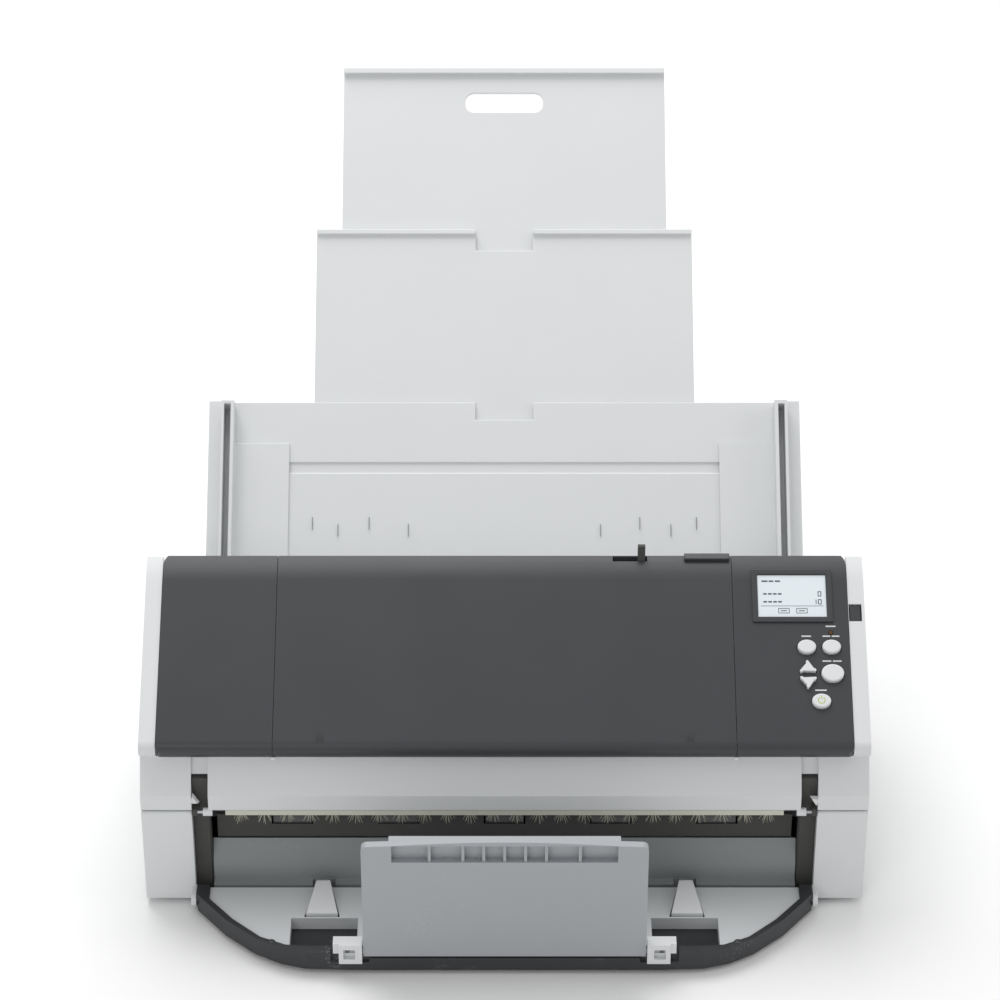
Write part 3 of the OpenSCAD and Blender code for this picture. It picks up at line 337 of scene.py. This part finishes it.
@dataclass
class Refined:
    """A CAD node carried over as a moulded shell with softened edges."""

    node: str
    body: str
    finish: Finish
    slot: str
    soften: float = 0.6
    segments: int = 3

    def build(self, frame: dict) -> bpy.types.Object:
        """Copies the node, welds it and rounds its sharp edges.


        Returns:
            The new piece, which stands for the CAD node.
        """
        mesh = frame["nodes"][self.node].data.copy()
        shell = bmesh.new()
        shell.from_mesh(mesh)
        bmesh.ops.remove_doubles(shell, verts=shell.verts, dist=2e-6)
        bmesh.ops.dissolve_limit(shell, angle_limit=math.radians(0.6), verts=shell.verts, edges=shell.edges,
                                 delimit={"NORMAL"})
        shell.to_mesh(mesh)
        shell.free()
        mesh.materials.clear()
        piece = bpy.data.objects.new(self.node + "_moulded", mesh)
        bpy.context.scene.collection.objects.link(piece)
        for face in mesh.polygons:
            face.use_smooth = True
        mesh.set_sharp_from_angle(angle=math.radians(28))
        bevel = piece.modifiers.new("edges", "BEVEL")
        bevel.width = self.soften * MM
        bevel.segments = self.segments
        bevel.limit_method = "ANGLE"
        bevel.angle_limit = math.radians(28)
        bevel.harden_normals = True
        weigh = piece.modifiers.new("normals", "WEIGHTED_NORMAL")
        weigh.keep_sharp = True
        weigh.weight = 90
        finish_piece(piece, self.body, self.finish)
        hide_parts(self.node)
        return piece


def finish_piece(piece: bpy.types.Object, body: str, finish: Finish) -> None:
    """Dresses a new piece, makes it ride on its body and reports it.

    Args:
        piece: the new piece.
        body: the CAD body it rides on.
        finish: its finish.
    """
    piece.data.materials.clear()
    piece.data.materials.append(finish.material())
    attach(piece, body)
    LOG.info("%s: %d faces, rides on %s", piece.name, len(piece.data.polygons), body)


def piece_from(name: str, shell: bmesh.types.BMesh, body: str, finish: Finish) -> bpy.types.Object:
    """Turns a finished bmesh into a piece.

    Args:
        name: the piece's name.
        shell: the bmesh, already in the row frame; it is freed.
        body: the CAD body the piece rides on.
        finish: its finish.

    Returns:
        The new piece.
    """
    bmesh.ops.recalc_face_normals(shell, faces=shell.faces)
    mesh = bpy.data.meshes.new(name)
    shell.to_mesh(mesh)
    shell.free()
    piece = bpy.data.objects.new(name, mesh)
    bpy.context.scene.collection.objects.link(piece)
    finish_piece(piece, body, finish)
    return piece


def add_block(shell: bmesh.types.BMesh, place: Matrix, size: Sequence[float], round_mm: float = 0.0,
              segments: int = 2) -> None:
    """Adds a box with softened edges to a bmesh.

    Args:
        shell: the bmesh that gains the box.
        place: where the box's centre goes and how it is turned.
        size: full lengths along the place's axes, in mm.
        round_mm: edge radius in mm, or 0 for sharp edges.
        segments: steps of each rounding.
    """
    made = bmesh.ops.create_cube(shell, size=1.0)
    verts = made["verts"]
    bmesh.ops.scale(shell, vec=Vector(size) * MM, verts=verts)
    if round_mm > 0:
        edges = {e for v in verts for e in v.link_edges}
        result = bmesh.ops.bevel(shell, geom=list(edges), offset=round_mm * MM, segments=segments,
                                 profile=0.5, affect="EDGES", material=-1)
        verts = list({v for f in result["faces"] for v in f.verts} | {v for v in verts if v.is_valid})
    bmesh.ops.transform(shell, matrix=place, verts=verts)


def tilted(origin: Vector, tilt: float) -> Matrix:
    """A frame whose second axis climbs the slope and whose third stands off it.

    Args:
        origin: where the frame stands, in metres.
        tilt: the slope's angle, in radians.

    Returns:
        The frame as a matrix.
    """
    return Matrix.Translation(origin) @ Matrix.Rotation(tilt, 4, "X")


def centre(node: str) -> Vector:
    """The middle of a CAD node's box."""
    low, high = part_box(node)
    return (Vector(low) + Vector(high)) / 2


def shift(x: float, y: float, z: float) -> Matrix:
    """A move given in mm."""
    return Matrix.Translation(Vector((x, y, z)) * MM)


@dataclass
class OperatorPanel:
    """Display contents, key legends and the power mark on the right hand cover."""

    glass_thick: float = 4.3
    key_tall: float = 6.8
    key_proud: float = 2.4
    ink_tall: float = 0.08
    digit_w: float = 1.5
    digit_h: float = 2.6
    stroke: float = 0.42

    def display_face(self) -> Matrix:
        """The frame on the middle of the display's front face."""
        return tilted(centre("lcd_glass") + NORMAL * self.glass_thick / 2 * MM, COVER_TILT)

    def key_face(self, node: str) -> Matrix:
        """The frame on the middle of a key's top."""
        return tilted(centre(node) + NORMAL * self.key_tall / 2 * MM, COVER_TILT)

    def bar(self, shell: bmesh.types.BMesh, face: Matrix, x: float, s: float, w: float, h: float) -> None:
        """One flat printed bar, centred at x, s on a face."""
        add_block(shell, face @ shift(x, s, self.ink_tall / 2), (w, h, self.ink_tall))

    def digit(self, shell: bmesh.types.BMesh, face: Matrix, x: float, s: float, lit: str) -> None:
        """One seven stroke digit; lit names its strokes from a to g."""
        w, h, k = self.digit_w, self.digit_h, self.stroke
        strokes = {
            "a": (0, h / 2, w, k), "g": (0, 0, w, k), "d": (0, -h / 2, w, k),
            "b": (w / 2, h / 4, k, h / 2), "c": (w / 2, -h / 4, k, h / 2),
            "e": (-w / 2, -h / 4, k, h / 2), "f": (-w / 2, h / 4, k, h / 2),
        }
        for name in lit:
            dx, ds, bw, bh = strokes[name]
            self.bar(shell, face, x + dx, s + ds, bw, bh)

    def build(self) -> None:
        """Makes the display's ink, the legends and the power mark."""
        face = self.display_face()
        ink = bmesh.new()
        for i, w in enumerate((3.2, 2.4, 2.8)):
            self.bar(ink, face, -14.2 + 3.4 * i, 8.6, w, 0.85)
        for row, s in enumerate((1.2, -3.4)):
            for i in range(4):
                self.bar(ink, face, -14.2 + 2.6 * i, s, 1.9, 0.85)
            self.digit(ink, face, 14.6, s, "abcdef")
            if row:
                self.digit(ink, face, 11.9, s, "bc")
        for x in (-4.5, 5.0):
            for dx, ds, w, h in ((0, 1.3, 5.6, 0.3), (0, -1.3, 5.6, 0.3),
                                 (-2.8, 0, 0.3, 2.9), (2.8, 0, 0.3, 2.9)):
                self.bar(ink, face, x + dx, -8.6 + ds, w, h)
            self.bar(ink, face, x, -8.6, 3.2, 0.45)
        self.bar(ink, face, 0, -5.8, 33.0, 0.22)
        piece_from("display_figures", ink, "upper_unit", INK)
        self.legends()
        self.power_mark()

    def legends(self) -> None:
        """Plain bar legends on the cover above the keys."""
        print_ = bmesh.new()
        for node, s, widths in (
            ("menu_button", 6.6, (5.0,)), ("stop_button", 6.6, (4.0, 4.0)), ("scan_button", 7.4, (4.6, 4.6)),
            ("power_button", 6.6, (6.0,)),
        ):
            face = self.key_face(node) @ shift(0, 0, -self.key_proud)
            total = sum(widths) + 0.8 * (len(widths) - 1)
            x = -total / 2
            for w in widths:
                self.bar(print_, face, x + w / 2, s, w, 0.75)
                x += w + 0.8
        lamp = tilted(centre("check_led"), COVER_TILT)
        face = self.key_face("stop_button") @ shift(0, 0, -self.key_proud)
        self.bar(print_, face, 0, (lamp.translation - face.translation).dot(SLOPE) / MM + 3.6, 5.2, 0.75)
        piece_from("panel_legends", print_, "upper_unit", PRINT)

    def power_mark(self) -> None:
        """The ring and stroke on the power key, which moves with it."""
        face = self.key_face("power_button")
        mark = bmesh.new()
        steps = 20
        for i in range(steps):
            angle = math.radians(125 + 290 * (i + 0.5) / steps)
            turn = Matrix.Rotation(angle, 4, "Z")
            add_block(mark, face @ turn @ shift(1.75, 0, 0.03), (0.4, 0.5, 0.1))
        add_block(mark, face @ shift(0, 1.5, 0.03), (0.42, 1.9, 0.1))
        piece_from("power_key_mark", mark, "power_button", LIME)


@dataclass
class ExitBrush:
    """The row of fanned conductive fibres under the exit cover."""

    tufts: int = 24
    pitch: float = 12.0
    fibres: int = 9
    length: float = 10.5
    spread: float = 30.0
    thick: float = 0.26

    def build(self) -> None:
        """Makes every fibre as a thin tapered stalk."""
        low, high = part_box("brush_tufts")
        root = Vector(((low[0] + high[0]) / 2, (low[1] + high[1]) / 2, high[2]))
        rng = random.Random(7)
        brush = bmesh.new()
        for t in range(self.tufts):
            x = (t - (self.tufts - 1) / 2) * self.pitch
            for f in range(self.fibres):
                lean = math.radians(self.spread * (2 * f / (self.fibres - 1) - 1) + rng.uniform(-5, 5))
                nod = math.radians(rng.uniform(-4, 4))
                size = self.length * rng.uniform(0.78, 0.98) * math.cos(lean)
                made = bmesh.ops.create_cone(brush, cap_ends=True, segments=4, radius1=self.thick * MM,
                                             radius2=self.thick * 0.35 * MM, depth=size * MM)
                place = (Matrix.Translation(root + Vector((x + rng.uniform(-0.5, 0.5), 0, 0)) * MM)
                         @ Matrix.Rotation(lean, 4, "Y") @ Matrix.Rotation(math.pi + nod, 4, "X")
                         @ shift(0, 0, size / 2))
                bmesh.ops.transform(brush, matrix=place, verts=made["verts"])
        piece = piece_from("brush_fibres", brush, "upper_unit", FIBRE)
        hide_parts("brush_tufts")


@dataclass
class SmallTrim:
    """Snap wedges, nose slits, chute ticks, seam notches and tray stops; sizes in mm."""

    bump: float = 4.0
    slit_x: float = 96.0
    seam_x: float = 120.25
    stop_x: float = 121.0
    tick_x: tuple[float, ...] = (52.5, 74.0, 91.0, 105.0, 128.5)

    def pillar_bumps(self) -> None:
        """The pale wedge on each pillar's inner edge beside the column."""
        for side, name in ((-1, "left"), (1, "right")):
            low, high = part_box("side_cover_" + name)
            inner = low[0] if side > 0 else high[0]
            _, front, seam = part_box("upper_shell")[0]
            shell = bmesh.new()
            made = bmesh.ops.create_cone(shell, cap_ends=True, segments=3, radius1=self.bump * MM,
                                         radius2=self.bump * 0.7 * MM, depth=2.2 * MM)
            place = (Matrix.Translation((inner - side * 0.2 * MM, front + 2.6 * MM, seam + 9.5 * MM))
                     @ Matrix.Rotation(math.pi / 2, 4, "X")
                     @ Matrix.Rotation(math.pi if side > 0 else 0, 4, "Z"))
            bmesh.ops.transform(shell, matrix=place, verts=made["verts"])
            piece_from("snap_wedge_" + name, shell, "upper_unit", PALE)

    def nose_slits(self) -> None:
        """Pairs of short dark slits in the cover's nose."""
        low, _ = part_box("cover_centre")
        shell = bmesh.new()
        for side in (-1, 1):
            for gap_x in (-1.1, 1.1):
                x = side * self.slit_x + gap_x
                place = tilted(Vector((x * MM, low[1] + 3.1 * MM, low[2] + 11.6 * MM)), math.radians(55))
                add_block(shell, place, (0.35, 7.5, 0.5))
        piece_from("nose_slits", shell, "upper_unit", BLACK)

    def chute_marks(self) -> None:
        """Generic size ticks along the chute's lower edge, level with its face."""
        low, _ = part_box("chute_panel")
        shell = bmesh.new()
        for side in (-1, 1):
            for i, x in enumerate(self.tick_x):
                place = (tilted(Vector((side * x * MM, low[1] + 2.0 * MM, low[2] + 7.6 * MM)), CHUTE_TILT)
                         @ shift(0, 52.0 + 4 * (i % 2), 0.0))
                add_block(shell, place, (0.5, 7.0, 0.1))
        piece_from("chute_ticks", shell, "base", BAY_SHADE_GREY)

    def seam_notches(self) -> None:
        """The pale body showing at the lower end of each cover seam."""
        low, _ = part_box("cover_centre")
        shell = bmesh.new()
        for side in (-1, 1):
            place = Matrix.Translation((side * self.seam_x * MM, low[1] + 2.1 * MM, low[2] + 1.3 * MM))
            add_block(shell, place, (2.4, 3.0, 1.6), 0.3)
        piece_from("seam_notches", shell, "upper_unit", PALE)

    def tray_bumps(self) -> None:
        """Low round stops on the tray's front corners."""
        low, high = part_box("tray_frame")
        shell = bmesh.new()
        for side in (-1, 1):
            made = bmesh.ops.create_uvsphere(shell, u_segments=20, v_segments=10, radius=2.2 * MM)
            bmesh.ops.scale(shell, vec=Vector((1.0, 1.0, 0.5)), verts=made["verts"])
            spot = (side * self.stop_x * MM, low[1] + 9.6 * MM, high[2] - 0.4 * MM)
            bmesh.ops.transform(shell, matrix=Matrix.Translation(spot), verts=made["verts"])
        piece_from("tray_stops", shell, "tray", TRAY_DARK)

    def build(self) -> None:
        """Makes all the small trim."""
        self.pillar_bumps()
        self.nose_slits()
        self.chute_marks()
        self.seam_notches()
        self.tray_bumps()


def shells() -> Iterable[Refined]:
    """Every CAD node whose edges are softened, with its finish."""
    for side in ("left", "right"):
        yield Refined("side_cover_" + side, "base", PALE, "pale_shell", 1.1)
        yield Refined("side_guide_" + side, "side_guide_" + side, PALE, "pale_shell", 0.5)
        yield Refined("riser_" + side, "riser_" + side, PALE, "pale_shell", 0.5)
        yield Refined("cover_" + side, "upper_unit", CHARCOAL, "dark_cover", 0.5)
    yield Refined("cover_centre", "upper_unit", CHARCOAL, "dark_cover", 0.5)
    yield Refined("upper_shell", "upper_unit", PALE, "pale_shell", 0.6)
    yield Refined("rear_cover", "base", PALE, "pale_shell", 0.5)
    yield Refined("chute_panel", "base", PALE, "pale_shell", 0.5)
    yield Refined("chute_back", "base", PALE, "pale_shell", 0.5)
    yield Refined("extension_1", "extension_1", PALE, "pale_shell", 0.5)
    yield Refined("extension_2", "extension_2", PALE, "pale_shell", 0.5)
    yield Refined("tray_frame", "tray", TRAY_DARK, "tray_dark", 0.7)
    yield Refined("tray_floor", "tray", PALE_TRAY, "pale_shell", 0.35)
    yield Refined("hinge_brackets", "tray", PALE, "pale_shell", 0.5)
    # The stopper's grey is painted shade.
    yield Refined("stopper", "stopper", STOPPER_SHADE_GREY, "stopper_grey", 0.6)
    yield Refined("bay_frame", "base", BLACK, "black_plastic", 0.4)
    # The bay wall's grey is painted shade.
    yield Refined("bay_wall", "base", BAY_SHADE_GREY, "bay_grey", 0.4)
    yield Refined("lcd_bezel", "upper_unit", CHARCOAL, "dark_cover", 0.4)
    yield Refined("notch_bar", "upper_unit", CHARCOAL, "dark_cover", 0.4)
    yield Refined("brush_strip", "upper_unit", STRIP, "brush_backing", 0.2)
    yield Refined("mode_slider", "mode_slider", BLACK, "black_plastic", 0.3)
    yield Refined("release_lever", "release_lever", CHARCOAL, "dark_cover", 0.4)
    yield Refined("feet", "base", RUBBER, "foot_rubber", 0.6)
    for key in ("menu", "stop", "up", "down", "scan", "power"):
        yield Refined(key + "_button", key + "_button", KEY, "button_grey", 0.9, 4)


PLAIN_FINISHES: dict[str, Finish] = {
    "base_pan": BLACK, "lower_guide": BLACK, "upper_guide": BLACK, "lower_scan_unit": BLACK,
    "upper_scan_unit": BLACK, "lower_glass": GLASS, "upper_glass": GLASS, "frame_plates": STEEL,
    "drive_motor": STEEL, "drive_belt": RUBBER, "motor_pulley": BAY_SHADE_GREY, "main_board": BOARD,
    "panel_board": BOARD, "dc_inlet": BLACK, "usb_port": STEEL, "cover_screws": STEEL, "hinge_pins": STEEL,
    "pick_roller": RUBBER, "feed_roller": RUBBER, "eject_roller": RUBBER, "brake_roller": RUBBER,
    "feed_idlers": RUBBER, "eject_idlers": RUBBER, "lcd_glass": SCREEN, "check_led": LENS,
}


def dress_plain(frame: dict) -> None:
    """Gives the CAD nodes that stay as they are their finishes.
    """
    for node, finish in PLAIN_FINISHES.items():
        mesh_object = frame["nodes"][node]
        mesh_object.data.materials.clear()
        mesh_object.data.materials.append(finish.material())
        LOG.info("%s: CAD node in %s", node, finish.name)


@dataclass
class Studio:
    """Pale floor, plain soft light and the camera."""

    lens: float = 128.4
    pitch: float = 33.0
    height: float = 1.2132
    stand_back: float = 1.474
    aside: float = -0.0024
    floor_colour: tuple[float, float, float, float] = (0.93, 0.93, 0.93, 1.0)
    lamps: list[tuple[str, tuple[float, float, float], float, float]] = field(default_factory=lambda: [
        ("overhead", (-0.25, 0.7, 1.6), 1.3, 20.0),
        ("front", (-0.7, -1.7, 1.1), 1.0, 4.5),
        ("side", (1.5, -0.2, 1.0), 1.0, 3.5),
    ])

    def build(self) -> None:
        """Makes the floor, the lamps, the world and the camera."""
        scene = bpy.context.scene
        scene.view_settings.view_transform = "Standard"
        floor = bmesh.new()
        bmesh.ops.create_grid(floor, x_segments=1, y_segments=1, size=6.0)
        mesh = bpy.data.meshes.new("studio_floor")
        floor.to_mesh(mesh)
        floor.free()
        ground = bpy.data.objects.new("studio_floor", mesh)
        scene.collection.objects.link(ground)
        mat = bpy.data.materials.new("studio_floor")
        mat.use_nodes = True
        shader = mat.node_tree.nodes["Principled BSDF"]
        shader.inputs["Base Color"].default_value = self.floor_colour
        shader.inputs["Roughness"].default_value = 0.9
        shader.inputs["Specular IOR Level"].default_value = 0.1
        mesh.materials.append(mat)
        for name, spot, size, power in self.lamps:
            light = bpy.data.lights.new(name, "AREA")
            light.size = size
            light.energy = power
            lamp = bpy.data.objects.new(name, light)
            lamp.location = spot
            lamp.rotation_euler = (Vector((0, 0, 0.08)) - Vector(spot)).to_track_quat("-Z", "Y").to_euler()
            scene.collection.objects.link(lamp)
        self.world()
        self.camera()

    def world(self) -> None:
        """Soft white surroundings, pure white where the camera looks past the floor."""
        world = bpy.data.worlds.new("studio")
        bpy.context.scene.world = world
        world.use_nodes = True
        tree = world.node_tree
        background = tree.nodes["Background"]
        background.inputs["Color"].default_value = (1, 1, 1, 1)
        background.inputs["Strength"].default_value = 0.56
        seen = tree.nodes.new("ShaderNodeBackground")
        seen.inputs["Strength"].default_value = 1.0
        seen.inputs["Color"].default_value = (1, 1, 1, 1)
        ray = tree.nodes.new("ShaderNodeLightPath")
        mix = tree.nodes.new("ShaderNodeMixShader")
        tree.links.new(ray.outputs["Is Camera Ray"], mix.inputs[0])
        tree.links.new(background.outputs[0], mix.inputs[1])
        tree.links.new(seen.outputs[0], mix.inputs[2])
        tree.links.new(mix.outputs[0], tree.nodes["World Output"].inputs["Surface"])

    def camera(self) -> None:
        """A long lens looking down at the machine from the front."""
        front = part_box("side_cover_right")[0][1] + 10.4 * MM
        data = bpy.data.cameras.new("camera")
        data.lens = self.lens
        data.sensor_width = 36.0
        data.clip_end = 20.0
        eye = bpy.data.objects.new("camera", data)
        eye.location = (self.aside, front - self.stand_back, self.height)
        eye.rotation_euler = (math.radians(90 - self.pitch), 0.0, 0.0)
        bpy.context.scene.collection.objects.link(eye)
        bpy.context.scene.camera = eye


def main() -> None:
    """Builds the machine's visible pieces round the frame."""
    logging.basicConfig(level=logging.INFO, format="%(message)s")
    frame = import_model()
    Studio().build()
    for shell in shells():
        shell.build(frame)
    dress_plain(frame)
    OperatorPanel().build()
    ExitBrush().build()
    SmallTrim().build()


if __name__ == "__main__":
    main()
